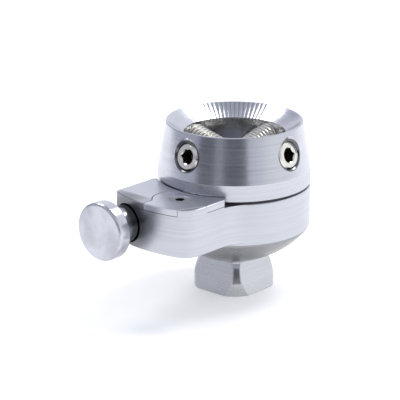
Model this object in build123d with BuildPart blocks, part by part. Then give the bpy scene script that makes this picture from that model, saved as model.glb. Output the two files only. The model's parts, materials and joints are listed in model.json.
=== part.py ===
from build123d import *
import os
from math import atan, atan2, cos, degrees, radians, sin, sqrt

# Rotation adapter for a modular leg prosthesis. A receiver for a four-sided pyramid turns on a
# ball bearing inside a housing, a push button on the housing's side lobe draws a lock lever out
# of the receiver's index ring, and a four-sided pyramid carries the adapter on the part below.
# Millimetres. The origin is on the main axis, on the pyramid's end face, with +Z up. The button
# points along -X, and the set screws lie along X and Y.

os.makedirs("parts", exist_ok=True)

# Gaps between a part and its seat: pressed, assembled by hand, running, and at the ends
press_gap = 0.01
seat_gap = 0.02
running_gap = 0.05
end_gap = 0.1

# Heights along the main axis
pyramid_root_z = 11.0
housing_z = 19.5
bearing_z = 23.1
index_ring_z = 28.8
drum_top_z = 31.9
receiver_z = 32.5
band_top_z = 37.5
rim_z = 50.9

# Receiver
band_r = 22.5
rim_r = 20.1
rim_land = 0.5
seat_sphere_r = 28.5
cup_r = 14.9
cup_floor_z = 31.5
cup_foot_r = 12.8
cup_foot_z = 33.0
cup_wall_z = 34.5
hub_r = 15.0
shoulder_r = 15.9
boss_r = 19.75
edge_break = 0.3
rim_bevel_width = 0.15
rim_bevel_height = 0.2

# Set screws, M8 x 16 with a 4 mm hexagon socket
screw_tilt = 15.0
screw_wall_r = 21.3
screw_wall_z = 44.3
screw_r = 4.0
screw_length = 16.0
screw_recess = 0.6
screw_hex = 4.0
screw_socket_depth = 4.5
screw_socket_bevel = 0.35
screw_hole_inside = 12.5
screw_hole_outside = 3.0
mouth_r = 4.9
mouth_outside = 0.9
screw_point_bevel = 1.25
screw_point_r = screw_r - screw_point_bevel
screw_end_bevel = 0.45
screw_end_r = screw_r - screw_end_bevel

# Housing: a drum with a side lobe
drum_r = 22.4
counterbore_r = 20.2
lobe_z = 20.25
lobe_top_z = 34.3
lobe_end_r = 38.0
lobe_back_y = 14.8
lobe_front_y = -14.4
back_corner_r = 2.0
front_corner_r = 6.0
blend_r = 12.0
receiver_gap_r = 23.0
step_back_x = -19.5
outer_edge = 0.2

# Thin-section ball bearing, 30 x 37 x 4
bearing_outer_r = 18.5
bearing_width = 4.0
outer_race_r = 17.35
inner_race_r = 16.15
ball_pitch_r = 16.75
ball_r = 0.95
ball_groove_r = 1.03
ball_count = 24
lower_bore_r = 17.05
cage_r = 17.1
cage_bore_r = 16.4
cage_width = 3.0
cage_pocket_length = 2.0

# Internal retaining ring for a 37 mm bore
circlip_z = bearing_z + bearing_width + end_gap
circlip_thickness = 1.1
circlip_inner_r = 17.2
circlip_outer_r = 19.2
circlip_opening = 9.0
groove_z = circlip_z - running_gap
groove_top_z = circlip_z + circlip_thickness + running_gap

# Glide ring between the housing and the receiver
glide_ring_r = 22.0
glide_ring_bore_r = 20.4
glide_ring_thickness = 0.52

# Index ring's pins
ring_pin_r = 0.8
ring_pin_ring_r = 17.9
ring_pin_start = 90.0
ring_pin_length = 5.2
ring_pin_hole_depth = 2.8

# Clamp disc, lock washer and centre bolt that hold the bearing to the receiver
clamp_disc_r = 15.95
clamp_disc_thickness = 1.5
clamp_disc_edge = 0.25
washer_r = 7.0
washer_thickness = 0.8
washer_slit = 0.6
bolt_r = 4.0
bolt_reach = 9.4
bolt_hole_depth = 7.4
bolt_head_r = 6.5
bolt_head_height = 3.8
bolt_head_edge = 0.4
bolt_hex = 5.0
bolt_hex_depth = 2.2

# Lock lever and its pivot, which also takes the cover screw
pivot_x = -28.6
pivot_y = -4.4
post_r = 2.2
post_hole_depth = 3.4
post_tap_depth = 6.0
bush_wall = 0.9
lever_z = 28.1
lever_top_z = 31.6
lever_hub_r = 5.2
lever_arm_half = 2.9
lever_fork_reach = 2.2
lever_fork_length = 8.0
pocket_gap = 0.5
arm_pocket_length = 14.0
arm_pocket_reach = 2.8
notch_gap = 0.2
pocket_z = 27.9
pocket_roof_z = 32.1
nose_r = 1.9
nose_clearance = 0.3
nose_angle = 202.0
index_ring_r = 19.8

# Torsion spring round the pivot post, in an annular seat below the lever
spring_wire_r = 0.35
spring_r = 4.05
spring_z = 25.6
spring_pitch = 0.78
spring_turns = 2.5
spring_top_z = spring_z + spring_pitch * spring_turns
spring_seat_depth = 2.8
spring_seat_gap = 0.15
tang_hole_r = spring_wire_r + end_gap
tang_hole_depth = 1.3
tang_overlap = 0.25
lower_tang_length = 1.6
upper_tang_length = 2.6

# Push button
button_y = 8.2
button_z = 26.6
button_travel = 4.0
knob_r = 8.5
knob_face_x = -48.7
knob_back_x = -44.4
knob_front_fillet = 0.9
knob_back_fillet = 0.6
stem_r = 5.35
stem_overlap = 0.5
button_bore_r = 5.75
stem_end_x = -26.2
stem_flat_x = -33.9
stem_flat_z = 27.7
button_bore_end_x = -22.0
button_bore_length = 20.0
bush_face_x = -34.9
bush_length = 2.4
drive_pin_r = 1.2
drive_pin_hole_depth = 3.4
drive_pin_top_gap = 0.3

# Cover plate and its M3 countersunk screw
plate_z = 32.4
joint_gap = 0.16
plate_arc_x = -28.9
plate_arc_y = -3.1
plate_arc_r = 6.75
plate_side_y = 1.0
plate_corner_y = -10.4
plate_notch_x = -28.2
plate_end_x = -20.9
plate_edge = 0.2
cover_screw_head_r = 2.95
cover_screw_r = 1.45
cover_screw_hex = 2.5
cover_screw_hex_depth = 1.3
cover_screw_length = 7.2
cover_screw_mouth_gap = 0.15

# Pyramid adapter
dome_r = 28.5
dome_centre_z = 37.1
dome_rim_r = 22.0
dome_mid_r = 16.0
pyramid_half = 10.45
pyramid_taper = 15.0
corner_r = 11.8
corner_z = 2.5
waist_r = 10.0
waist_z = 9.6
end_chamfer = 0.3
flat_chamfer = 0.2
spigot_r = 17.0
spigot_height = 1.7
well_r = 8.0
well_depth = 5.1
dowel_r = 1.0
dowel_ring_r = 19.0
dowel_start = 45.0
dowel_length = 4.0
dowel_hole_depth = 2.1

lever_length = button_y - pivot_y
lever_swing = degrees(atan(button_travel / lever_length))
nose_centre_r = index_ring_r + nose_clearance + nose_r
nose_x = nose_centre_r * cos(radians(nose_angle))
nose_y = nose_centre_r * sin(radians(nose_angle))


def half_section(*outline):
    """Face in the XZ plane, bounded by (radius, height) points."""
    with BuildSketch(Plane.XZ) as section:
        with BuildLine():
            Polyline(*outline, close=True)
        make_face()
    return section.sketch


def hexagon(across_flats):
    """A hexagon of the stated width across its flats."""
    RegularPolygon(across_flats / 2, 6, major_radius=False)


def ring_of(count, radius, start=0.0):
    """Centres of a ring of places about the main axis."""
    step = 360 / count
    return [(radius * cos(radians(start + i * step)), radius * sin(radians(start + i * step)))
            for i in range(count)]


def swung(x, y, angle):
    """A point of the lever after it has swung about its pivot."""
    turn_by = radians(angle)
    dx, dy = x - pivot_x, y - pivot_y
    return (pivot_x + dx * cos(turn_by) - dy * sin(turn_by),
            pivot_y + dx * sin(turn_by) + dy * cos(turn_by))


def sphere_z(radius_of_sphere, centre_z, radius):
    """Height of the lower half of a sphere on the main axis, at a radius from that axis."""
    return centre_z - sqrt(radius_of_sphere**2 - radius**2)


def screw_plane(index, along=0.0):
    """Plane across a set screw's axis, its normal pointing out of the receiver."""
    heading = radians(180 + 90 * index)
    tilt = radians(screw_tilt)
    outward = Vector(cos(heading) * cos(tilt), sin(heading) * cos(tilt), sin(tilt))
    wall = Vector(screw_wall_r * cos(heading), screw_wall_r * sin(heading), screw_wall_z)
    return Plane(origin=wall + outward * along, x_dir=(-sin(heading), cos(heading), 0), z_dir=outward)


# ------------------------------------------------------------------ plan outlines
def corner_centre(side_y, radius):
    """Centre of the corner where the lobe's end arc turns into one of its sides."""
    centre_y = side_y - radius if side_y > 0 else side_y + radius
    return -sqrt((lobe_end_r - radius) ** 2 - centre_y**2), centre_y


def on_lobe_rim(edge):
    """Whether an edge runs round the lobe's top or bottom face, outside the drum."""
    start, middle, end = (edge.position_at(share) for share in (0, 0.5, 1))
    level = abs(start.Z - end.Z) < 0.01 and abs(start.Z - middle.Z) < 0.01
    at_rim = min(abs(middle.Z - lobe_z), abs(middle.Z - lobe_top_z)) < 0.01
    return level and at_rim and middle.X < 0 and sqrt(middle.X**2 + middle.Y**2) > drum_r + 0.3


def blend_centre(side_y):
    """Centre of the hollow arc that leads one of the lobe's sides into the drum."""
    centre_y = side_y + blend_r if side_y > 0 else side_y - blend_r
    return -sqrt((drum_r + blend_r) ** 2 - centre_y**2), centre_y


back_corner = corner_centre(lobe_back_y, back_corner_r)
front_corner = corner_centre(lobe_front_y, front_corner_r)
back_angle = degrees(atan2(back_corner[1], back_corner[0]))
front_angle = degrees(atan2(front_corner[1], front_corner[0])) + 360

back_blend = blend_centre(lobe_back_y)
front_blend = blend_centre(lobe_front_y)
back_blend_angle = degrees(atan2(-back_blend[1], -back_blend[0]))
front_blend_angle = degrees(atan2(-front_blend[1], -front_blend[0]))

with BuildSketch() as lobe_outline:
    with BuildLine():
        back_arc = CenterArc(back_blend, blend_r, back_blend_angle, -90 - back_blend_angle)
        Line((back_blend[0], lobe_back_y), (back_corner[0], lobe_back_y))
        CenterArc(back_corner, back_corner_r, 90, back_angle - 90)
        CenterArc((0, 0), lobe_end_r, back_angle, front_angle - back_angle)
        CenterArc(front_corner, front_corner_r, front_angle, 270 - front_angle)
        Line((front_corner[0], lobe_front_y), (front_blend[0], lobe_front_y))
        front_arc = CenterArc(front_blend, blend_r, 90, front_blend_angle - 90)
        Line(front_arc @ 1, (0, 0))
        Line((0, 0), back_arc @ 0)
    make_face()

plate_start = (-sqrt(lobe_end_r**2 - plate_side_y**2), plate_side_y)
plate_corner = (-sqrt(lobe_end_r**2 - plate_corner_y**2), plate_corner_y)
plate_arc_start = degrees(atan2(plate_side_y - plate_arc_y,
                                -sqrt(plate_arc_r**2 - (plate_side_y - plate_arc_y) ** 2)))
plate_arc_left = (plate_arc_x + plate_arc_r * cos(radians(plate_arc_start)), plate_side_y)
plate_far = (plate_end_x, lobe_front_y)
plate_far_inner = tuple(v * receiver_gap_r / sqrt(plate_end_x**2 + lobe_front_y**2) for v in plate_far)

with BuildSketch() as plate_outline:
    with BuildLine():
        Line(plate_start, plate_arc_left)
        CenterArc((plate_arc_x, plate_arc_y), plate_arc_r, plate_arc_start, -plate_arc_start)
        Line((plate_arc_x + plate_arc_r, plate_arc_y), plate_far_inner)
        Line(plate_far_inner, plate_far)
        Line(plate_far, (plate_notch_x, lobe_front_y))
        Line((plate_notch_x, lobe_front_y), plate_corner)
        RadiusArc(plate_corner, plate_start, lobe_end_r)
    make_face()
    Circle(receiver_gap_r, mode=Mode.SUBTRACT)

swung_nose = swung(nose_x, nose_y, -lever_swing)

with BuildSketch() as lever_pocket_outline:
    with Locations((pivot_x, pivot_y)):
        Circle(lever_hub_r + pocket_gap)
    with Locations((nose_x, nose_y), swung_nose):
        Circle(nose_r + pocket_gap)
    make_hull()

with BuildSketch() as arm_pocket_outline:
    with Locations((pivot_x - lever_arm_half - pocket_gap, pivot_y)):
        Rectangle(arm_pocket_length, button_y - pivot_y + arm_pocket_reach, align=(Align.MIN, Align.MIN))
    Circle(drum_r, mode=Mode.SUBTRACT)

# ------------------------------------------------------------------ housing
with BuildPart() as housing:
    with BuildSketch(Plane.XY.offset(housing_z)):
        Circle(drum_r)
    extrude(amount=drum_top_z - housing_z)
    chamfer(edges(), outer_edge)
    with BuildSketch(Plane.XY.offset(lobe_z)):
        add(lobe_outline.sketch)
    extrude(amount=lobe_top_z - lobe_z)
    chamfer(edges().filter_by(on_lobe_rim), outer_edge)
    # The receiver's skirt turns in this step, which also lowers the lobe's two roots
    with BuildSketch(Plane.XY.offset(drum_top_z)):
        Circle(receiver_gap_r)
        with BuildLine():
            Polyline((0, 0), (2 * plate_end_x, 2 * lobe_front_y), (drum_r, 2 * lobe_front_y),
                     (drum_r, 2 * lobe_back_y), (2 * step_back_x, 2 * lobe_back_y), close=True)
        make_face()
    extrude(amount=lobe_top_z - drum_top_z, mode=Mode.SUBTRACT)
    # Stepped bore: spigot bore, bearing seat, retaining ring groove, index ring space
    bore = half_section((0, housing_z), (lower_bore_r, housing_z), (lower_bore_r, bearing_z),
                        (bearing_outer_r, bearing_z), (bearing_outer_r, groove_z),
                        (circlip_outer_r + running_gap, groove_z),
                        (circlip_outer_r + running_gap, groove_top_z),
                        (counterbore_r, groove_top_z),
                        (counterbore_r, drum_top_z), (0, drum_top_z))
    revolve(bore, axis=Axis.Z, mode=Mode.SUBTRACT)
    # Recess for the cover plate
    with BuildSketch(Plane.XY.offset(plate_z)):
        add(plate_outline.sketch)
        offset(amount=joint_gap)
    extrude(amount=lobe_top_z - plate_z, mode=Mode.SUBTRACT)
    # Pockets for the lever's nose and for its arm
    with BuildSketch(Plane.XY.offset(pocket_z)):
        add(lever_pocket_outline.sketch)
    extrude(amount=plate_z - pocket_z, mode=Mode.SUBTRACT)
    with BuildSketch(Plane.XY.offset(pocket_z)):
        add(arm_pocket_outline.sketch)
    extrude(amount=pocket_roof_z - pocket_z, mode=Mode.SUBTRACT)
    # Bore for the push button
    with BuildSketch(Plane.YZ.offset(button_bore_end_x)):
        with Locations((button_y, button_z)):
            Circle(button_bore_r)
    extrude(amount=-button_bore_length, mode=Mode.SUBTRACT)
    # Pivot post hole, with the torsion spring's seat round it
    with BuildSketch(Plane.XY.offset(pocket_z)):
        with Locations((pivot_x, pivot_y)):
            Circle(spring_r + 2 * spring_wire_r + spring_seat_gap)
            Circle(spring_r - 2 * spring_wire_r - spring_seat_gap, mode=Mode.SUBTRACT)
    extrude(amount=-spring_seat_depth, mode=Mode.SUBTRACT)
    with BuildSketch(Plane.XY.offset(pocket_z)):
        with Locations((pivot_x, pivot_y)):
            Circle(post_r)
    extrude(amount=-post_hole_depth, mode=Mode.SUBTRACT)
    with BuildSketch(Plane.XY.offset(pocket_z - spring_seat_depth)):
        with Locations((pivot_x + spring_r, pivot_y)):
            Circle(tang_hole_r)
    extrude(amount=-tang_hole_depth, mode=Mode.SUBTRACT)
    # Holes for the two dowel pins of the pyramid adapter
    with BuildSketch(Plane.XY.offset(housing_z)):
        with Locations(*ring_of(2, dowel_ring_r, dowel_start)):
            Circle(dowel_r)
    extrude(amount=dowel_hole_depth, mode=Mode.SUBTRACT)
housing.part.label = "housing"
export_step(housing.part, "parts/housing.step")

with BuildPart() as cover_plate:
    with BuildSketch(Plane.XY.offset(plate_z)):
        add(plate_outline.sketch)
    extrude(amount=lobe_top_z - plate_z)
    chamfer(faces().sort_by(Axis.Z)[-1].edges(), plate_edge)
    with Locations((pivot_x, pivot_y, lobe_top_z)):
        CounterSinkHole(cover_screw_r + cover_screw_mouth_gap, cover_screw_head_r + cover_screw_mouth_gap)
cover_plate.part.label = "cover_plate"
export_step(cover_plate.part, "parts/cover_plate.step")

with BuildPart() as cover_screw:
    with BuildSketch(Plane.XY.offset(lobe_top_z - cover_screw_length)):
        with Locations((pivot_x, pivot_y)):
            Circle(cover_screw_r)
    extrude(amount=cover_screw_length - end_gap)
    with BuildSketch(Plane.XY.offset(lobe_top_z - end_gap)):
        with Locations((pivot_x, pivot_y)):
            Circle(cover_screw_head_r)
    extrude(amount=-(cover_screw_head_r - cover_screw_r), taper=45)
    with BuildSketch(Plane.XY.offset(lobe_top_z - end_gap)):
        with Locations((pivot_x, pivot_y)):
            hexagon(cover_screw_hex)
    extrude(amount=-cover_screw_hex_depth, mode=Mode.SUBTRACT)
cover_screw.part.label = "cover_screw"
export_step(cover_screw.part, "parts/cover_screw.step")

with BuildPart() as glide_ring:
    with BuildSketch(Plane.XY.offset(drum_top_z + seat_gap)):
        Circle(glide_ring_r)
        Circle(glide_ring_bore_r, mode=Mode.SUBTRACT)
    extrude(amount=glide_ring_thickness)
glide_ring.part.label = "glide_ring"
export_step(glide_ring.part, "parts/glide_ring.step")

# ------------------------------------------------------------------ pyramid adapter
with BuildPart() as pyramid_adapter:
    # The pyramid's corners are turned, and its four faces are flats that flare downwards
    with BuildSketch(Plane.XZ):
        with BuildLine():
            Polyline((waist_r, waist_z), (waist_r, pyramid_root_z), (0, pyramid_root_z), (0, 0),
                     (corner_r - end_chamfer, 0), (corner_r, end_chamfer), (corner_r, corner_z))
            TangentArc((corner_r, corner_z), (waist_r, waist_z), tangent=(0, 1))
        make_face()
    revolve(axis=Axis.Z)
    with BuildSketch():
        Rectangle(2 * pyramid_half, 2 * pyramid_half)
    extrude(amount=pyramid_root_z, taper=pyramid_taper, mode=Mode.INTERSECT)
    chamfer(faces().sort_by(Axis.Z)[0].edges().filter_by(GeomType.LINE), flat_chamfer)
    # Dome that seats the adapter, with a spigot for the housing
    dome_top = sphere_z(dome_r, dome_centre_z, dome_rim_r)
    with BuildSketch(Plane.XZ):
        with BuildLine():
            Line((0, sphere_z(dome_r, dome_centre_z, 0)), (0, housing_z))
            Line((0, housing_z), (dome_rim_r, housing_z))
            Line((dome_rim_r, housing_z), (dome_rim_r, dome_top))
            ThreePointArc((dome_rim_r, dome_top), (dome_mid_r, sphere_z(dome_r, dome_centre_z, dome_mid_r)),
                          (0, sphere_z(dome_r, dome_centre_z, 0)))
        make_face()
    revolve(axis=Axis.Z)
    with BuildSketch(Plane.XY.offset(housing_z)):
        Circle(spigot_r)
    extrude(amount=spigot_height)
    # Well for the centre bolt's head, and the dowel holes
    with BuildSketch(Plane.XY.offset(housing_z + spigot_height)):
        Circle(well_r)
    extrude(amount=-well_depth, mode=Mode.SUBTRACT)
    with BuildSketch(Plane.XY.offset(housing_z)):
        with Locations(*ring_of(2, dowel_ring_r, dowel_start)):
            Circle(dowel_r)
    extrude(amount=-dowel_hole_depth, mode=Mode.SUBTRACT)
pyramid_adapter.part.label = "pyramid_adapter"
export_step(pyramid_adapter.part, "parts/pyramid_adapter.step")

with BuildPart() as dowel_pins:
    with BuildSketch(Plane.XY.offset(housing_z)):
        with Locations(*ring_of(2, dowel_ring_r, dowel_start)):
            Circle(dowel_r - seat_gap)
    extrude(amount=dowel_length / 2, both=True)
dowel_pins.part.label = "dowel_pins"
export_step(dowel_pins.part, "parts/dowel_pins.step")

# ------------------------------------------------------------------ bearing
bearing_mid_z = bearing_z + bearing_width / 2


def race_section(inner, outer):
    """Half section of one race of the bearing, with its ball groove."""
    with BuildSketch(Plane.XZ) as section:
        with Locations(((inner + outer) / 2, bearing_mid_z)):
            Rectangle(outer - inner, bearing_width)
        with Locations((ball_pitch_r, bearing_mid_z)):
            Circle(ball_groove_r, mode=Mode.SUBTRACT)
    return section.sketch


with BuildPart() as bearing_outer_race:
    revolve(race_section(outer_race_r, bearing_outer_r - seat_gap), axis=Axis.Z)
bearing_outer_race.part.label = "bearing_outer_race"
export_step(bearing_outer_race.part, "parts/bearing_outer_race.step")

with BuildPart() as bearing_inner_race:
    revolve(race_section(hub_r + seat_gap, inner_race_r), axis=Axis.Z)
bearing_inner_race.part.label = "bearing_inner_race"
export_step(bearing_inner_race.part, "parts/bearing_inner_race.step")

with BuildPart() as bearing_balls:
    with Locations(*[(x, y, bearing_mid_z) for x, y in ring_of(ball_count, ball_pitch_r)]):
        Sphere(ball_r)
bearing_balls.part.label = "bearing_balls"
export_step(bearing_balls.part, "parts/bearing_balls.step")

with BuildPart() as bearing_cage:
    with BuildSketch(Plane.XY.offset(bearing_mid_z)):
        Circle(cage_r)
        Circle(cage_bore_r, mode=Mode.SUBTRACT)
    extrude(amount=cage_width / 2, both=True)
    with Locations(*[Plane(origin=(x, y, bearing_mid_z), z_dir=(x, y, 0))
                     for x, y in ring_of(ball_count, ball_pitch_r)]):
        Cylinder(ball_r + end_gap, cage_pocket_length, mode=Mode.SUBTRACT)
bearing_cage.part.label = "bearing_cage"
export_step(bearing_cage.part, "parts/bearing_cage.step")

with BuildPart() as bearing_circlip:
    with BuildSketch(Plane.XY.offset(circlip_z)):
        Circle(circlip_outer_r)
        Circle(circlip_inner_r, mode=Mode.SUBTRACT)
        with Locations((0, circlip_inner_r)):
            Rectangle(circlip_opening, circlip_opening, mode=Mode.SUBTRACT)
    extrude(amount=circlip_thickness)
bearing_circlip.part.label = "bearing_circlip"
export_step(bearing_circlip.part, "parts/bearing_circlip.step")

# ------------------------------------------------------------------ receiver
seat_centre_z = rim_z + sqrt(seat_sphere_r**2 - (rim_r - rim_land) ** 2)
seat_foot_z = sphere_z(seat_sphere_r, seat_centre_z, cup_r)
seat_mid_r = (rim_r - rim_land + cup_r) / 2

with BuildPart() as receiver:
    with BuildSketch(Plane.XZ):
        with BuildLine():
            Polyline((0, cup_floor_z), (cup_foot_r, cup_floor_z), (cup_foot_r, cup_foot_z),
                     (cup_r, cup_wall_z), (cup_r, seat_foot_z))
            ThreePointArc((cup_r, seat_foot_z),
                          (seat_mid_r, sphere_z(seat_sphere_r, seat_centre_z, seat_mid_r)),
                          (rim_r - rim_land, rim_z))
            Polyline((rim_r - rim_land, rim_z), (rim_r - rim_bevel_width, rim_z),
                     (rim_r, rim_z - rim_bevel_height),
                     (band_r, band_top_z), (band_r, receiver_z + edge_break),
                     (band_r - edge_break, receiver_z), (boss_r, receiver_z),
                     (boss_r, drum_top_z - end_gap), (shoulder_r, drum_top_z - end_gap),
                     (shoulder_r, bearing_z + bearing_width), (hub_r, bearing_z + bearing_width),
                     (hub_r, bearing_z + end_gap), (0, bearing_z + end_gap), (0, cup_floor_z))
        make_face()
    revolve(axis=Axis.Z)
    # Threaded hole for the centre bolt, and holes for the index ring's pins
    with BuildSketch(Plane.XY.offset(bearing_z)):
        Circle(bolt_r)
    extrude(amount=bolt_hole_depth, mode=Mode.SUBTRACT)
    with BuildSketch(Plane.XY.offset(drum_top_z - 2 * end_gap)):
        with Locations(*ring_of(3, ring_pin_ring_r, ring_pin_start)):
            Circle(ring_pin_r)
    extrude(amount=ring_pin_hole_depth, mode=Mode.SUBTRACT)
    # Four tilted set screw holes with countersunk mouths
    for index in range(4):
        with BuildSketch(screw_plane(index, screw_hole_outside)):
            Circle(screw_r + running_gap)
        extrude(amount=-screw_hole_inside, mode=Mode.SUBTRACT)
        mouth_depth = mouth_r - screw_r - running_gap
        with BuildSketch(screw_plane(index, -mouth_depth)):
            Circle(screw_r + running_gap)
        extrude(amount=mouth_depth + mouth_outside, taper=-45, mode=Mode.SUBTRACT)
receiver.part.label = "receiver"
export_step(receiver.part, "parts/receiver.step")

with BuildPart() as index_ring:
    with BuildSketch(Plane.XY.offset(index_ring_z)):
        Circle(index_ring_r)
        Circle(shoulder_r + seat_gap, mode=Mode.SUBTRACT)
        # Notch for the lever's nose, and the pins' holes
        with Locations((nose_x * (1 - nose_r / nose_centre_r), nose_y * (1 - nose_r / nose_centre_r))):
            Circle(nose_r + notch_gap, mode=Mode.SUBTRACT)
        with Locations(*ring_of(3, ring_pin_ring_r, ring_pin_start)):
            Circle(ring_pin_r, mode=Mode.SUBTRACT)
    extrude(amount=drum_top_z - end_gap - seat_gap - index_ring_z)
index_ring.part.label = "index_ring"
export_step(index_ring.part, "parts/index_ring.step")

with BuildPart() as index_ring_pins:
    with BuildSketch(Plane.XY.offset(index_ring_z + 2 * end_gap)):
        with Locations(*ring_of(3, ring_pin_ring_r, ring_pin_start)):
            Circle(ring_pin_r - seat_gap)
    extrude(amount=ring_pin_length)
index_ring_pins.part.label = "index_ring_pins"
export_step(index_ring_pins.part, "parts/index_ring_pins.step")

with BuildPart() as clamp_disc:
    with BuildSketch(Plane.XY.offset(bearing_z)):
        Circle(clamp_disc_r)
        Circle(bolt_r + end_gap, mode=Mode.SUBTRACT)
    extrude(amount=-clamp_disc_thickness)
    chamfer(edges().filter_by(GeomType.CIRCLE).group_by(SortBy.RADIUS)[-1], clamp_disc_edge)
clamp_disc.part.label = "clamp_disc"
export_step(clamp_disc.part, "parts/clamp_disc.step")

washer_z = bearing_z - clamp_disc_thickness - washer_thickness

with BuildPart() as lock_washer:
    with BuildSketch(Plane.XY.offset(washer_z)):
        Circle(washer_r)
        Circle(bolt_r + end_gap + running_gap, mode=Mode.SUBTRACT)
        with Locations((bolt_r - end_gap, 0)):
            Rectangle(washer_r, washer_slit, align=(Align.MIN, Align.CENTER), mode=Mode.SUBTRACT)
    extrude(amount=washer_thickness)
lock_washer.part.label = "lock_washer"
export_step(lock_washer.part, "parts/lock_washer.step")

with BuildPart() as centre_bolt:
    with BuildSketch(Plane.XY.offset(washer_z)):
        Circle(bolt_r - seat_gap)
    extrude(amount=bolt_reach)
    with BuildSketch(Plane.XY.offset(washer_z)):
        Circle(bolt_head_r)
    extrude(amount=-bolt_head_height)
    chamfer(edges().filter_by(GeomType.CIRCLE).sort_by(Axis.Z)[0], bolt_head_edge)
    with BuildSketch(Plane.XY.offset(washer_z - bolt_head_height)):
        hexagon(bolt_hex)
    extrude(amount=bolt_hex_depth, mode=Mode.SUBTRACT)
centre_bolt.part.label = "centre_bolt"
export_step(centre_bolt.part, "parts/centre_bolt.step")

# ------------------------------------------------------------------ set screws
for index in range(4):
    with BuildPart() as set_screw:
        with BuildSketch(screw_plane(index, -screw_recess)):
            Circle(screw_end_r)
        extrude(amount=-screw_end_bevel, taper=-45)
        with BuildSketch(screw_plane(index, -screw_recess - screw_end_bevel)):
            Circle(screw_r)
        extrude(amount=-(screw_length - screw_end_bevel - screw_point_bevel))
        with BuildSketch(screw_plane(index, -screw_recess - screw_length)):
            Circle(screw_point_r)
        extrude(amount=screw_point_bevel, taper=-45)
        with BuildSketch(screw_plane(index, -screw_recess)):
            hexagon(screw_hex)
        extrude(amount=-screw_socket_depth, mode=Mode.SUBTRACT)
        with BuildSketch(screw_plane(index, -screw_recess)):
            Circle(screw_hex / 2 + screw_socket_bevel)
        extrude(amount=-screw_socket_bevel, taper=45, mode=Mode.SUBTRACT)
    set_screw.part.label = f"set_screw_{index + 1}"
    export_step(set_screw.part, f"parts/set_screw_{index + 1}.step")

# ------------------------------------------------------------------ push button
with BuildPart() as push_button:
    with BuildSketch(Plane.YZ.offset(knob_face_x)):
        with Locations((button_y, button_z)):
            Circle(knob_r)
    extrude(amount=knob_back_x - knob_face_x)
    fillet(edges().sort_by(Axis.X)[0], knob_front_fillet)
    fillet(edges().sort_by(Axis.X)[-1], knob_back_fillet)
    with BuildSketch(Plane.YZ.offset(knob_back_x - stem_overlap)):
        with Locations((button_y, button_z)):
            Circle(stem_r)
    extrude(amount=stem_end_x - knob_back_x + stem_overlap)
    # Flat under the lever's fork, and the hole of the pin that drives it
    with BuildSketch(Plane.XY.offset(stem_flat_z)):
        with Locations((stem_flat_x, button_y)):
            Rectangle(2 * stem_r, 2 * stem_r + 1, align=(Align.MIN, Align.CENTER))
    extrude(amount=stem_r, mode=Mode.SUBTRACT)
    with BuildSketch(Plane.XY.offset(stem_flat_z)):
        with Locations((pivot_x, button_y)):
            Circle(drive_pin_r)
    extrude(amount=-drive_pin_hole_depth, mode=Mode.SUBTRACT)
push_button.part.label = "push_button"
export_step(push_button.part, "parts/push_button.step")

with BuildPart() as drive_pin:
    with BuildSketch(Plane.XY.offset(lever_top_z - drive_pin_top_gap)):
        with Locations((pivot_x, button_y)):
            Circle(drive_pin_r - press_gap)
    extrude(amount=stem_flat_z - drive_pin_hole_depth + end_gap - lever_top_z + drive_pin_top_gap)
drive_pin.part.label = "drive_pin"
export_step(drive_pin.part, "parts/drive_pin.step")

with BuildPart() as button_bush:
    with BuildSketch(Plane.YZ.offset(bush_face_x)):
        with Locations((button_y, button_z)):
            Circle(button_bore_r - press_gap)
            Circle(stem_r + running_gap, mode=Mode.SUBTRACT)
    extrude(amount=bush_length)
button_bush.part.label = "button_bush"
export_step(button_bush.part, "parts/button_bush.step")

# ------------------------------------------------------------------ lock lever
with BuildPart() as lock_lever:
    with BuildSketch(Plane.XY.offset(lever_z)):
        with Locations((pivot_x, pivot_y)):
            Circle(lever_hub_r)
        with Locations((nose_x, nose_y)):
            Circle(nose_r)
        make_hull()
        with Locations((pivot_x, pivot_y)):
            Rectangle(2 * lever_arm_half, lever_length + lever_fork_reach,
                      align=(Align.CENTER, Align.MIN))
            Circle(post_r + bush_wall, mode=Mode.SUBTRACT)
        # Open fork for the drive pin
        with Locations((pivot_x, button_y)):
            Rectangle(2 * drive_pin_r + pocket_gap, lever_fork_length, mode=Mode.SUBTRACT)
        with Locations((pivot_x - spring_r, pivot_y)):
            Circle(tang_hole_r, mode=Mode.SUBTRACT)
    extrude(amount=lever_top_z - lever_z)
lock_lever.part.label = "lock_lever"
export_step(lock_lever.part, "parts/lock_lever.step")

with BuildPart() as lever_bush:
    with BuildSketch(Plane.XY.offset(lever_z - end_gap)):
        with Locations((pivot_x, pivot_y)):
            Circle(post_r + bush_wall - press_gap)
            Circle(post_r + running_gap, mode=Mode.SUBTRACT)
    extrude(amount=pocket_roof_z - 2 * end_gap - lever_z + end_gap)
lever_bush.part.label = "lever_bush"
export_step(lever_bush.part, "parts/lever_bush.step")

with BuildPart() as pivot_post:
    with BuildSketch(Plane.XY.offset(plate_z)):
        with Locations((pivot_x, pivot_y)):
            Circle(post_r)
    extrude(amount=pocket_z - post_hole_depth + end_gap - plate_z)
    with BuildSketch(Plane.XY.offset(plate_z)):
        with Locations((pivot_x, pivot_y)):
            Circle(cover_screw_r + seat_gap)
    extrude(amount=-post_tap_depth, mode=Mode.SUBTRACT)
pivot_post.part.label = "pivot_post"
export_step(pivot_post.part, "parts/pivot_post.step")

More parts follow.
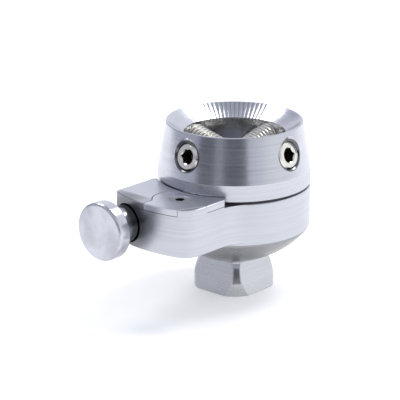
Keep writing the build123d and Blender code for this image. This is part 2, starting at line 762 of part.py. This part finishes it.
# ------------------------------------------------------------------ torsion spring
with BuildPart() as lever_spring:
    with BuildLine():
        Helix(spring_pitch, spring_pitch * spring_turns, spring_r, center=(pivot_x, pivot_y, spring_z))
    with BuildSketch(Plane(origin=(pivot_x + spring_r, pivot_y, spring_z), z_dir=(0, 1, 0))):
        Circle(spring_wire_r)
    sweep(is_frenet=True)
    # Tangs that hold its two ends, in the housing and in the lever
    with BuildSketch(Plane.XY.offset(spring_z + tang_overlap)):
        with Locations((pivot_x + spring_r, pivot_y)):
            Circle(spring_wire_r)
    extrude(amount=-lower_tang_length)
    with BuildSketch(Plane.XY.offset(spring_top_z - tang_overlap)):
        with Locations((pivot_x - spring_r, pivot_y)):
            Circle(spring_wire_r)
    extrude(amount=upper_tang_length)
lever_spring.part.label = "lever_spring"
export_step(lever_spring.part, "parts/lever_spring.step")
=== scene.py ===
import json
import math

import bmesh
import bpy
from mathutils import Matrix, Vector


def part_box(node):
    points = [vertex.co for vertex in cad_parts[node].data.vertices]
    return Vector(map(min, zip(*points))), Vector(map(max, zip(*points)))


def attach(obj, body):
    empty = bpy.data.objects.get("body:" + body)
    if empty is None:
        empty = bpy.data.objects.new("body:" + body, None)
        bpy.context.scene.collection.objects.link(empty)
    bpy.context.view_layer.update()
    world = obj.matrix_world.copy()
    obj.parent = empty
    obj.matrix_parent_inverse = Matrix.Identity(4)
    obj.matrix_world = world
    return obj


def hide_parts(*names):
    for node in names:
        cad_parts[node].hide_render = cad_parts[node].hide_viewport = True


# Rotation adapter for a modular leg prosthesis, standing on its pyramid. Metres, +Z up.
# The CAD nodes keep their shapes and get procedural finishes. The set screws are rebuilt
# here, because their threads show inside the cup.

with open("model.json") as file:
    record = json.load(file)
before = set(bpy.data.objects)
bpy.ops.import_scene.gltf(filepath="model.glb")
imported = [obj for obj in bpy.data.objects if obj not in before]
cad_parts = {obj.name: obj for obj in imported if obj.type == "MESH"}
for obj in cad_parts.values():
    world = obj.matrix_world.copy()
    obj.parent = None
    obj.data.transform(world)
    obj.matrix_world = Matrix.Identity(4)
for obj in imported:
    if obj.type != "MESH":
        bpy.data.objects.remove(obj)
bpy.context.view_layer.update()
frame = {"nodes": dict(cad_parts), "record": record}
nodes = frame["nodes"]
scene = bpy.context.scene
scene.view_settings.view_transform = "Standard"

# ------------------------------------------------------------------ camera
VIEW_AZIMUTH = math.radians(-48.3)
VIEW_ELEVATION = math.radians(18.04)
VIEW_DISTANCE = 0.600
AIM_RIGHT = -0.01006
AIM_HEIGHT = 0.02615
LENS = 182.9

to_right = Vector((math.cos(VIEW_AZIMUTH), math.sin(VIEW_AZIMUTH), 0))
to_front = Vector((math.sin(VIEW_AZIMUTH), -math.cos(VIEW_AZIMUTH), 0))
to_camera = to_front * math.cos(VIEW_ELEVATION) + Vector((0, 0, math.sin(VIEW_ELEVATION)))
camera_data = bpy.data.cameras.new("camera")
camera_data.lens = LENS
camera_data.clip_start = 0.01
camera = bpy.data.objects.new("camera", camera_data)
camera.location = to_right * AIM_RIGHT + Vector((0, 0, AIM_HEIGHT)) + to_camera * VIEW_DISTANCE
camera.rotation_mode = "QUATERNION"
camera.rotation_quaternion = (-to_camera).to_track_quat("-Z", "Y")
scene.collection.objects.link(camera)
scene.camera = camera


# ------------------------------------------------------------------ node helpers
class Tree:
    """Short calls for building a node tree. A value is a socket, a number or a tuple."""

    def __init__(self, tree):
        self.tree = tree

    def add(self, kind, *values, **settings):
        node = self.tree.nodes.new(kind)
        for name, value in settings.items():
            setattr(node, name, value)
        for socket, value in zip(node.inputs, values):
            self.put(socket, value)
        return node

    def put(self, socket, value):
        if value is None:
            return
        if isinstance(value, bpy.types.NodeSocket):
            self.tree.links.new(value, socket)
        else:
            socket.default_value = value

    def math(self, operation, *values):
        return self.add("ShaderNodeMath", *values, operation=operation).outputs[0]

    def vector(self, operation, *values):
        node = self.add("ShaderNodeVectorMath", *values, operation=operation)
        return node.outputs["Value" if operation in ("LENGTH", "DOT_PRODUCT") else "Vector"]

    def split(self, vector):
        return self.add("ShaderNodeSeparateXYZ", vector).outputs

    def join(self, x, y, z):
        return self.add("ShaderNodeCombineXYZ", x, y, z).outputs[0]

    def times(self, first, *others):
        """Product of all the values."""
        for other in others:
            first = self.math("MULTIPLY", first, other)
        return first

    def largest(self, first, *others):
        for other in others:
            first = self.math("MAXIMUM", first, other)
        return first

    def weigh(self, first, first_weight, second, second_weight):
        """Sum of two values, each times its weight."""
        return self.math("ADD", self.times(first, first_weight), self.times(second, second_weight))

    def between(self, value, low, high, to_low=0.0, to_high=1.0, smooth=True):
        """to_low where value is low, changing to to_high where it is high."""
        node = self.add("ShaderNodeMapRange", value, low, high, to_low, to_high,
                        interpolation_type="SMOOTHSTEP" if smooth else "LINEAR")
        return node.outputs[0]

    def within(self, value, full, none):
        """1 up to full, falling to 0 at none."""
        return self.between(value, full, none, 1.0, 0.0)

    def mix(self, kind, share, first, second):
        node = self.add("ShaderNodeMix", data_type=kind)
        self.put(node.inputs["Factor"], share)
        self.put(node.inputs["A"], first)
        self.put(node.inputs["B"], second)
        return node.outputs["Result"]

    def blend(self, share, first, second):
        """The first colour where share is 0, the second where it is 1."""
        return self.mix("RGBA", share, first, second)

    def noise(self, vector, scale, detail=2.0, roughness=0.5):
        node = self.add("ShaderNodeTexNoise")
        self.put(node.inputs["Vector"], vector)
        self.put(node.inputs["Scale"], scale)
        self.put(node.inputs["Detail"], detail)
        self.put(node.inputs["Roughness"], roughness)
        return node.outputs["Fac"]

    def streaks(self, x, y, run, across, along, detail=3.0, roughness=0.6):
        """Noise drawn out into lines, which follow one another along run."""
        stretched = self.join(self.times(x, across), self.times(y, across), self.times(run, along))
        return self.noise(stretched, 1.0, detail, roughness)


class Finish(Tree):
    """A Principled material. Its constant values sit on the shader's own sockets."""

    def __init__(self, name, colour, metallic=1.0, **constants):
        self.material = bpy.data.materials.new(name)
        self.material.use_nodes = True
        self.material.diffuse_color = (*colour, 1)
        super().__init__(self.material.node_tree)
        self.shader = self.tree.nodes["Principled BSDF"]
        self.shader.inputs["Metallic"].default_value = metallic
        for name, value in constants.items():
            self.shader.inputs[name.replace("_", " ")].default_value = value
        self.colour = colour
        self.place = self.add("ShaderNodeTexCoord").outputs["Object"]

    def tint(self, share, factor):
        """The base colour, multiplied by factor where share is 1."""
        darker = tuple(c * factor for c in self.colour)
        self.put(self.shader.inputs["Base Color"],
                 self.blend(share, (*self.colour, 1), (*darker, 1)))

    def rough(self, value, low, high, from_low=0.3, from_high=0.7):
        """Roughness low where value is from_low, up to high where it is from_high."""
        self.put(self.shader.inputs["Roughness"],
                 self.between(value, from_low, from_high, low, high, smooth=False))

    def relief(self, *layers):
        """Bumps, each a height and its depth in metres."""
        normal = None
        for height, depth in layers:
            bump = self.add("ShaderNodeBump")
            bump.inputs["Distance"].default_value = depth
            self.put(bump.inputs["Height"], height)
            self.put(bump.inputs["Normal"], normal)
            normal = bump.outputs[0]
        self.put(self.shader.inputs["Normal"], normal)

    def grain(self, direction):
        """Points the anisotropic highlight across a direction given in the object's own axes."""
        turned = self.add("ShaderNodeVectorTransform", direction, vector_type="VECTOR",
                          convert_from="OBJECT", convert_to="WORLD")
        self.put(self.shader.inputs["Tangent"], self.vector("NORMALIZE", turned.outputs[0]))

    def grain_round_z(self, dx, dy):
        self.grain(self.join(self.times(dy, -1.0), dx, 0.0))

    def about_z(self, x=0.0, y=0.0):
        """Offset from a vertical axis, height, and distance from the axis."""
        offset = self.vector("SUBTRACT", self.place, (x, y, 0))
        dx, dy, z = self.split(offset)
        return dx, dy, z, self.vector("LENGTH", self.join(dx, dy, 0.0))


SCREW_END_LAYER = 1e-5


def screw_end(index):
    """Centre of a set screw's outer end, and the way its axis points out of the receiver."""
    joints = frame["record"]["behaviour"]["joints"]
    outward = next(Vector(j["axis"]) for j in joints if j["name"] == f"set_screw_{index}_travel")
    corners = [vertex.co for vertex in nodes[f"set_screw_{index}"].data.vertices]
    reach = max(corner.dot(outward) for corner in corners)
    end = [corner for corner in corners if corner.dot(outward) > reach - SCREW_END_LAYER]
    return sum(end, Vector()) / len(end), outward


# ------------------------------------------------------------------ finishes
# Noise scales are waves per metre. A pair is the two ends of a soft edge.
ALUMINIUM = (0.575, 0.587, 0.622)
# Painted light: the cover plate's aluminium is a lighter copy of the housing's, so the plate's edges
# read bright
PLATE_ALUMINIUM = (0.61, 0.622, 0.660)
BUTTON_STEEL = (0.60, 0.61, 0.65)
PYRAMID_STEEL = (0.58, 0.59, 0.60)
SCREW_STEEL = (0.78, 0.76, 0.69)
POLYMER = (0.018, 0.018, 0.020)
# Receiver: the seat with its chatter marks, the painted shade in the screw mouths and the rougher
# band below
SEAT_WALL_R = (0.0195, 0.0197)
SEAT_FOOT_Z = (0.0455, 0.0485)
CHATTER_MARKS = 90.0
CHATTER_DRIFT = 1.6
CHATTER_SIDE = math.radians(41.7)
CHATTER_FACING = (0.70, 0.90)
CHATTER_DEPTH = 3.5e-5
MOUTH_R = (0.00465, 0.00480)
MOUTH_FLOOR = (-0.002, -0.001)
BAND_TOP_Z = (0.0374, 0.0375)
# Housing and cover plate: mill marks about an axis beside the part, pits, painted shade round the
# button's bore and a dark joint line under the cover plate
MILL_AXIS = (0.012, 0.045)
FLAT_FACING = (0.6, 0.9)
PIT_SCALE = 420.0
PIT_R = (0.16, 0.05)
PIT_RARITY = 0.66
PIT_DEPTH = 4.0e-5
END_FACE_X = (-0.0345, -0.0325)
BORE_SHADE_R = (0.0062, 0.0125)
BORE_SHADE = 0.90
JOINT_TOP = (-0.00006, 0.0)
JOINT_FOOT = (0.00016, 0.00024)
PLATE_CORNER_Y = -0.0106
PLATE_NOTCH_X = -0.0282
PLATE_EDGE_WIDTH = 0.001
# Push button
FACE_EDGE = (0.0001, 0.0004)
# Where the stem takes a painted reflection of the shaded end face
STEM_SHADE_X = (-0.0425, -0.0395)
# Pyramid adapter: painted shade on the dome, and a painted dark reflection on the waist of the turned
# corners between the flats
DOME_Z = (0.0094, 0.0104)
PYRAMID_HALF = 0.01045
PYRAMID_TAPER = math.radians(15)
CORNER_INSET = (0.0001, 0.0003)
WAIST_FOOT_Z = (0.0037, 0.0042)
WAIST_TOP_Z = (0.0080, 0.0090)
# Set screws: the thread's root, and the painted shade in the drive socket
ROOT_OUTER_R = (0.0033, 0.0037)
ROOT_INNER_R = (0.0026, 0.0030)
THREAD_START_Z = (-0.0002, -0.0012)
SOCKET_WALL_R = (0.0023, 0.0026)
SOCKET_MOUTH_Z = (-0.0003, -0.0005)
# Painted shade in the socket of the cover screw
COVER_SOCKET_DROP = 0.0002
COVER_SOCKET_EDGE = 0.0002


def turned_aluminium():
    """Fine lathe lines round the main axis, broken up along their length."""
    f = Finish("turned_aluminium", ALUMINIUM, Anisotropic=0.55)
    dx, dy, z, r = f.about_z()
    f.grain_round_z(dx, dy)
    run = f.math("ADD", z, r)
    lines = f.streaks(dx, dy, run, across=20.0, along=3200.0)
    feed = f.streaks(dx, dy, run, across=5.0, along=1300.0, detail=2.0, roughness=0.5)
    cloud = f.noise(f.place, scale=160.0, detail=3.0)
    # Chatter marks run up one side of the seat and fade out round the rest of it
    level = f.join(dx, dy, 0.0)
    in_seat = f.times(f.within(r, *SEAT_WALL_R), f.between(z, *SEAT_FOOT_Z))
    drift = f.noise(level, scale=300.0, detail=1.0)
    wave = f.math("SINE", f.weigh(f.math("ARCTAN2", dy, dx), CHATTER_MARKS, drift, CHATTER_DRIFT))
    side = (math.cos(CHATTER_SIDE), math.sin(CHATTER_SIDE), 0)
    facing = f.vector("DOT_PRODUCT", f.vector("NORMALIZE", level), side)
    patchy = f.between(f.noise(level, scale=110.0, detail=1.0), 0.38, 0.62, 0.6, 1.0)
    strength = f.times(f.between(facing, *CHATTER_FACING, 0.08, 1.0), patchy)
    chatter = f.times(wave, in_seat, strength)
    # Painted shade darkens the countersunk mouths round the set screws
    end, outward = screw_end(3)
    x_size, y_size = f.math("ABSOLUTE", dx), f.math("ABSOLUTE", dy)
    past_wall = f.math("SUBTRACT", f.largest(x_size, y_size), end.x)
    above = f.math("SUBTRACT", z, end.z)
    off_axis = f.math("SUBTRACT", f.times(above, outward.x), f.times(past_wall, outward.z))
    from_screw = f.vector("LENGTH", f.join(f.math("MINIMUM", x_size, y_size), off_axis, 0.0))
    mouth_shade = f.times(f.within(from_screw, *MOUTH_R), f.between(past_wall, *MOUTH_FLOOR))
    in_lines = f.times(f.between(lines, 0.35, 0.75), 0.14)
    in_chatter = f.times(f.between(chatter, 0.0, 0.8), 0.45)
    f.tint(f.largest(in_lines, in_chatter, mouth_shade), factor=0.25)
    band = f.between(z, *BAND_TOP_Z, 0.35, 0.0)
    wear = f.weigh(feed, 0.6, cloud, 0.4)
    f.rough(f.math("ADD", wear, band), low=0.13, high=0.33, from_low=0.3, from_high=1.0)
    f.relief((lines, 0.6e-5), (feed, 0.3e-5), (chatter, CHATTER_DEPTH))
    return f.material


def bore_shade_and_joint_line(f, dx, dy, z):
    """Painted shade round the button's bore on the end face, and a dark joint line under the cover
    plate's outer edges.
    """
    button_low, button_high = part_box("push_button")
    _, by, bz = f.split(f.vector("SUBTRACT", f.place, (button_low + button_high) / 2))
    from_bore = f.vector("LENGTH", f.join(0.0, by, bz))
    end_face = f.within(dx, *END_FACE_X)
    # Painted shade: the end face darkens towards the button's bore
    bore = f.times(f.between(from_bore, *BORE_SHADE_R, BORE_SHADE, 0.0), end_face)
    plate_low, plate_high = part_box("cover_plate")
    below = f.math("SUBTRACT", plate_low.z, z)
    line = f.times(f.within(below, *JOINT_FOOT), f.between(below, *JOINT_TOP))
    on_end = f.times(end_face, f.math("GREATER_THAN", dy, PLATE_CORNER_Y),
                     f.math("LESS_THAN", dy, plate_high.y))
    on_side = f.times(f.math("GREATER_THAN", dx, PLATE_NOTCH_X),
                      f.math("LESS_THAN", dy, plate_low.y + PLATE_EDGE_WIDTH),
                      f.math("LESS_THAN", dx, plate_high.x))
    return f.largest(bore, f.times(line, f.largest(on_end, on_side)))


def brushed_aluminium(name, colour, roughness, on_housing=False):
    """Fine lines round the walls, flat mill marks on top, and a few small pits."""
    f = Finish(name, colour, Anisotropic=0.35)
    dx, dy, z, _ = f.about_z()
    f.grain_round_z(dx, dy)
    wall = f.streaks(dx, dy, z, across=35.0, along=2800.0, roughness=0.65)
    sweep_x, _, _, sweep = f.about_z(*MILL_AXIS)
    mill = f.noise(f.join(f.times(sweep, 2200.0), f.times(sweep_x, 50.0), 0.0), 1.0, 3.0, 0.6)
    upward = f.math("ABSOLUTE", f.split(f.add("ShaderNodeNewGeometry").outputs["Normal"])[2])
    lines = f.mix("FLOAT", f.between(upward, *FLAT_FACING), wall, mill)
    pit = f.add("ShaderNodeTexVoronoi", feature="F1")
    f.put(pit.inputs["Vector"], f.place)
    f.put(pit.inputs["Scale"], PIT_SCALE)
    rare = f.math("GREATER_THAN", f.noise(f.place, scale=210.0, detail=0.0), PIT_RARITY)
    pits = f.times(f.between(pit.outputs["Distance"], *PIT_R), rare)
    cloud = f.noise(f.place, scale=120.0, detail=4.0)
    stain_and_shade = f.times(f.largest(f.between(lines, 0.3, 0.8, 0.0, 0.8), pits), 0.16)
    # On the housing the stains also take the painted shade round the bore and the dark joint line
    if on_housing:
        stain_and_shade = f.largest(stain_and_shade, bore_shade_and_joint_line(f, dx, dy, z))
    f.tint(stain_and_shade, factor=0.25)
    f.rough(f.weigh(lines, 0.5, cloud, 0.5), *roughness)
    f.relief((lines, 1.1e-5), (f.times(pits, -1.0), PIT_DEPTH))
    return f.material


def button_steel():
    """Faced end with rings round the button's own axis, and a polished edge and stem."""
    f = Finish("button_steel", BUTTON_STEEL, Anisotropic=0.5)
    low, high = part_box("push_button")
    axis_y, axis_z = (low.y + high.y) / 2, (low.z + high.z) / 2
    x, y, z = f.split(f.vector("SUBTRACT", f.place, (0, axis_y, axis_z)))
    f.grain(f.join(0.0, f.times(z, -1.0), y))
    r = f.vector("LENGTH", f.join(0.0, y, z))
    lines = f.streaks(y, z, f.math("ADD", r, x), across=60.0, along=2600.0)
    face = f.within(x, *(low.x + edge for edge in FACE_EDGE))
    cloud = f.noise(f.place, scale=260.0, detail=4.0)
    # Painted reflection of the shaded end face: the stem darkens towards the housing
    stem_shade = f.between(x, *STEM_SHADE_X)
    f.tint(f.largest(f.times(f.between(cloud, 0.35, 0.70), 0.22), stem_shade), factor=0.35)
    f.rough(f.weigh(face, 0.24, cloud, 0.14), low=0.12, high=0.44, from_low=0.03, from_high=0.36)
    f.relief((lines, 0.35e-5), (f.times(cloud, face), 3.0e-5))
    return f.material


def pyramid_steel():
    """Satin, with fine level lines on the flats and round the dome and corners."""
    f = Finish("pyramid_steel", PYRAMID_STEEL)
    dx, dy, z, _ = f.about_z()
    lines = f.streaks(dx, dy, z, across=90.0, along=2200.0)
    fine = f.noise(f.place, scale=2200.0, detail=2.0)
    cloud = f.noise(f.place, scale=140.0, detail=3.0)
    # Painted shade darkens the dome, and a painted dark reflection darkens the waist of the turned
    # corners between the flats
    dome_shade = f.between(z, *DOME_Z, 0.0, 0.6)
    half = f.math("SUBTRACT", PYRAMID_HALF, f.times(z, math.tan(PYRAMID_TAPER)))
    inset = f.math("SUBTRACT", half, f.largest(f.math("ABSOLUTE", dx), f.math("ABSOLUTE", dy)))
    waist_shade = f.times(f.between(inset, *CORNER_INSET, 0.0, 0.8),
                    f.between(z, *WAIST_FOOT_Z), f.within(z, *WAIST_TOP_Z))
    f.tint(f.largest(f.times(f.between(lines, 0.3, 0.8), 0.15), dome_shade, waist_shade), factor=0.25)
    f.rough(f.weigh(fine, 0.5, cloud, 0.5), low=0.24, high=0.38)
    f.relief((lines, 0.15e-5), (fine, 0.08e-5))
    return f.material


def plain_metal(name, colour, low, high, socket_z=None):
    """A ground or rolled metal with a fine even grain, darkened below socket_z by painted shade if it
    is given.
    """
    f = Finish(name, colour)
    fine = f.noise(f.place, 900.0, 3.0, 0.6)
    cloud = f.noise(f.place, 900.0 / 7, 3.0)
    stain_and_shade = f.times(f.between(cloud, 0.35, 0.75), 0.17)
    if socket_z is not None:
        height = f.split(f.place)[2]
        stain_and_shade = f.largest(stain_and_shade, f.within(height, socket_z - COVER_SOCKET_EDGE, socket_z))
    f.tint(stain_and_shade, factor=0.18)
    f.rough(f.weigh(fine, 0.5, cloud, 0.5), low, high)
    f.relief((fine, 0.8e-5))
    return f.material


def polymer():
    """Satin black, even all over."""
    f = Finish("black_polymer", POLYMER, metallic=0.0)
    fine = f.noise(f.place, scale=1500.0, detail=3.0)
    f.tint(f.noise(f.place, scale=300.0, detail=2.0), factor=0.7)
    f.rough(fine, low=0.42, high=0.58)
    f.relief((fine, 0.8e-5))
    return f.material


def screw_finish():
    """Plated steel, with lines round the screw's own axis, darker in the thread's root, and painted
    shade in the drive socket.
    """
    f = Finish("screw_steel", SCREW_STEEL, Anisotropic=0.3)
    dx, dy, z, r = f.about_z()
    f.grain_round_z(dx, dy)
    lines = f.streaks(dx, dy, f.math("ADD", z, r), across=90.0, along=3000.0)
    cloud = f.noise(f.place, scale=500.0, detail=3.0)
    root = f.times(f.within(r, *ROOT_OUTER_R), f.between(r, *ROOT_INNER_R),
                   f.between(z, *THREAD_START_Z), 0.7)
    socket_shade = f.times(f.within(r, *SOCKET_WALL_R), f.between(z, *SOCKET_MOUTH_Z))
    f.tint(f.largest(root, socket_shade), factor=0.16)
    f.rough(cloud, low=0.16, high=0.30)
    f.relief((lines, 0.8e-5))
    return f.material


finishes = {
    "turned": turned_aluminium(),
    "housing": brushed_aluminium("brushed_aluminium", ALUMINIUM, (0.26, 0.40), on_housing=True),
    "plate": brushed_aluminium("plate_aluminium", PLATE_ALUMINIUM, (0.28, 0.42)),
    "button": button_steel(),
    "pyramid": pyramid_steel(),
    "screw": screw_finish(),
    "cover_screw": plain_metal("cover_screw_steel", (0.78, 0.76, 0.71), 0.16, 0.30,
                               socket_z=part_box("cover_screw")[1].z - COVER_SOCKET_DROP),
    "hardened": plain_metal("hardened_steel", (0.50, 0.50, 0.51), 0.18, 0.32),
    "bronze": plain_metal("bronze", (0.62, 0.42, 0.20), 0.26, 0.40),
    "spring": plain_metal("spring_steel", (0.40, 0.40, 0.42), 0.20, 0.34),
    "polymer": polymer(),
}
node_finish = {
    "receiver": "turned", "housing": "housing", "cover_plate": "plate",
    "push_button": "button", "pyramid_adapter": "pyramid", "cover_screw": "cover_screw",
    "glide_ring": "polymer", "button_bush": "polymer", "bearing_cage": "bronze",
    "lever_bush": "bronze", "lever_spring": "spring", "bearing_circlip": "spring",
    "lock_washer": "spring",
}
for name, node in nodes.items():
    finish = finishes[node_finish.get(name, "hardened")]
    for material_slot in node.material_slots:
        material_slot.link = "OBJECT"
        material_slot.material = finish

# ------------------------------------------------------------------ set screws
SCREW_R = 0.0040
SCREW_LENGTH = 0.0160
END_R = 0.00355
POINT_R = 0.00275
CUP_POINT_R = POINT_R * 0.86
ROOT_R = 0.00331
PITCH = 0.00125
HEX = 0.0040
SOCKET_DEPTH = 0.0045
SOCKET_BEVEL = 0.00035
SOCKET_TIP_DEPTH = 0.0006
SOCKET_TIP_SHARE = 0.35
SEGMENTS = 72
WELD = 1e-7
SHARP_ANGLE = math.radians(35)
# One pitch of the thread: the share of the pitch, and the share of the thread's height
PROFILE = ((0.00, 1.0), (0.12, 1.0), (0.24, 0.75), (0.36, 0.40), (0.46, 0.08), (0.52, 0.0),
           (0.60, 0.0), (0.66, 0.08), (0.76, 0.40), (0.88, 0.75))


def set_screw_mesh(name):
    """A hexagon socket set screw. Its outer end is at z = 0, and it runs down -Z."""
    bm = bmesh.new()
    step = 2 * math.pi / SEGMENTS

    def ring(radius_at, z_at):
        return [bm.verts.new((radius_at(i) * math.cos(i * step), radius_at(i) * math.sin(i * step),
                              z_at(i))) for i in range(SEGMENTS)]

    def hex_r(i):
        from_flat = (i * step) % (math.pi / 3) - math.pi / 6
        return HEX / 2 / math.cos(from_flat)

    def skin(upper, lower):
        for i in range(SEGMENTS):
            k = (i + 1) % SEGMENTS
            bm.faces.new((upper[i], upper[k], lower[k], lower[i]))

    def end_limit(z):
        """Radius that the chamfered ends allow at a height."""
        return min(SCREW_R, END_R - z, POINT_R + (z + SCREW_LENGTH))

    # The drive socket, from its floor up to the rim
    socket = [ring(lambda i: hex_r(i) * SOCKET_TIP_SHARE, lambda i: -SOCKET_DEPTH - SOCKET_TIP_DEPTH),
              ring(hex_r, lambda i: -SOCKET_DEPTH),
              ring(hex_r, lambda i: hex_r(i) - HEX / 2 - SOCKET_BEVEL),
              ring(lambda i: HEX / 2 + SOCKET_BEVEL, lambda i: 0.0),
              ring(lambda i: END_R, lambda i: 0.0)]
    # The helical thread, clamped to the ends
    spiral = []
    for turn in range(-1, math.ceil(SCREW_LENGTH / PITCH) + 1):
        for along, height in PROFILE:
            def z_at(i, along=along, turn=turn):
                z = -(turn + along + i / SEGMENTS) * PITCH
                return max(-SCREW_LENGTH, min(0.0, z))

            def radius_at(i, height=height, z_at=z_at):
                thread = ROOT_R + (SCREW_R - ROOT_R) * height
                return min(thread, end_limit(z_at(i)))
            spiral.append(ring(radius_at, z_at))
    for upper, lower in zip(socket, socket[1:]):
        skin(upper, lower)
    skin(socket[-1], spiral[0])
    for upper, lower in zip(spiral, spiral[1:]):
        for i in range(SEGMENTS - 1):
            bm.faces.new((upper[i], upper[i + 1], lower[i + 1], lower[i]))
    # Known fault: this joins each turn's last column to the first column of the turn above,
    # where the helix runs on to the turn below, so a strip of steep faces breaks the thread
    count = len(PROFILE)
    for k in range(count, len(spiral) - 1):
        bm.faces.new((spiral[k][-1], spiral[k - count][0], spiral[k - count + 1][0],
                      spiral[k + 1][-1]))
    point = ring(lambda i: CUP_POINT_R, lambda i: -SCREW_LENGTH)
    skin(spiral[-1], point)
    bm.faces.new(point)
    bm.faces.new(socket[0][::-1])
    bmesh.ops.remove_doubles(bm, verts=bm.verts, dist=WELD)
    bmesh.ops.dissolve_degenerate(bm, edges=bm.edges, dist=WELD)
    bmesh.ops.recalc_face_normals(bm, faces=bm.faces)
    mesh = bpy.data.meshes.new(name)
    bm.to_mesh(mesh)
    bm.free()
    mesh.shade_smooth()
    mesh.set_sharp_from_angle(angle=SHARP_ANGLE)
    return mesh


screw_mesh = set_screw_mesh("set_screw_thread")
screw_mesh.materials.append(finishes["screw"])
for index in range(1, 5):
    end_centre, outward = screw_end(index)
    across = Vector((0, 0, 1)).cross(outward).normalized()
    screw = bpy.data.objects.new(f"threaded_screw_{index}", screw_mesh)
    scene.collection.objects.link(screw)
    turn = Matrix((across, outward.cross(across), outward)).transposed().to_4x4()
    screw.matrix_world = Matrix.Translation(end_centre) @ turn
    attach(screw, f"set_screw_{index}")
    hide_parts(f"set_screw_{index}")

# ------------------------------------------------------------------ studio
# The floor glows a little, so that it is as pale as the backdrop behind it.
FLOOR_R = 0.5
PAPER = (0.90, 0.90, 0.89)

floor_mesh = bpy.data.meshes.new("floor")
bm = bmesh.new()
bmesh.ops.create_circle(bm, cap_ends=True, segments=64, radius=FLOOR_R)
bm.to_mesh(floor_mesh)
bm.free()
floor = bpy.data.objects.new("floor", floor_mesh)
scene.collection.objects.link(floor)
paper = Finish("paper", PAPER, metallic=0.0, Roughness=0.9, Emission_Strength=0.31)
paper.tint(paper.noise(paper.place, scale=900.0), factor=0.985)
floor_mesh.materials.append(paper.material)

# A pale room, with a dark side behind the camera that the polished faces mirror
WHITE = (1, 1, 1, 1)
FRONT_SKY = (0.74, 0.76, 0.86, 1)
RIGHT_SKY = (1.04, 1.06, 1.12, 1)
BACK_SKY = (1.00, 1.02, 1.12, 1)
LEFT_SKY = (0.50, 0.52, 0.63, 1)
TOP_SKY = (0.50, 0.52, 0.60, 1)
DARK_SIDE = (0.165, 0.17, 0.205, 1)
DARK_SIDE_GAP = (0.40, 0.41, 0.46, 1)

world = bpy.data.worlds.new("studio")
scene.world = world
world.use_nodes = True
w = Tree(world.node_tree)
wx, wy, wz = w.split(w.add("ShaderNodeTexCoord").outputs["Generated"])
level = w.vector("NORMALIZE", w.join(wx, wy, 0.0))


def toward(turn_deg):
    """Level direction at an angle from the camera, positive to the image's right."""
    turn = math.radians(turn_deg)
    return to_front * math.cos(turn) + to_right * math.sin(turn)


def lobe(turn_deg, inner_deg, outer_deg):
    """1 within inner_deg of a level direction, falling to 0 at outer_deg."""
    facing = w.vector("DOT_PRODUCT", level, toward(turn_deg))
    return w.between(facing, math.cos(math.radians(outer_deg)), math.cos(math.radians(inner_deg)))


sky = w.blend(lobe(110, 40, 85), FRONT_SKY, RIGHT_SKY)
sky = w.blend(lobe(180, 50, 90), sky, BACK_SKY)
sky = w.blend(lobe(-105, 35, 62), sky, LEFT_SKY)
sky = w.blend(w.between(wz, 0.55, 0.97), sky, TOP_SKY)
dark_side = w.blend(lobe(-24, 2, 10), DARK_SIDE, DARK_SIDE_GAP)
sky = w.blend(w.times(lobe(-20, 36, 41), w.within(wz, 0.25, 0.60)), sky, dark_side)
camera_ray = w.add("ShaderNodeLightPath").outputs["Is Camera Ray"]
background = world.node_tree.nodes["Background"]
w.put(background.inputs["Color"], w.blend(camera_ray, sky, WHITE))

SOFTBOX_DISTANCE = 0.9
SOFTBOX_SIZE = 0.36


def softbox(name, turn_deg, elevation_deg, radiance):
    """A round lamp that faces the part and that the camera doesn't see."""
    data = bpy.data.lights.new(name, "AREA")
    data.shape = "DISK"
    data.size = SOFTBOX_SIZE
    data.energy = radiance * math.pi * math.pi * (SOFTBOX_SIZE / 2) ** 2
    light = bpy.data.objects.new(name, data)
    raise_by = math.radians(elevation_deg)
    direction = toward(turn_deg) * math.cos(raise_by) + Vector((0, 0, math.sin(raise_by)))
    light.location = direction * SOFTBOX_DISTANCE
    light.rotation_mode = "QUATERNION"
    light.rotation_quaternion = direction.to_track_quat("Z", "Y")
    light.visible_camera = False
    scene.collection.objects.link(light)


softbox("softbox_left", -126, 56, 5.6)
softbox("softbox_right", 123, 58, 8.6)
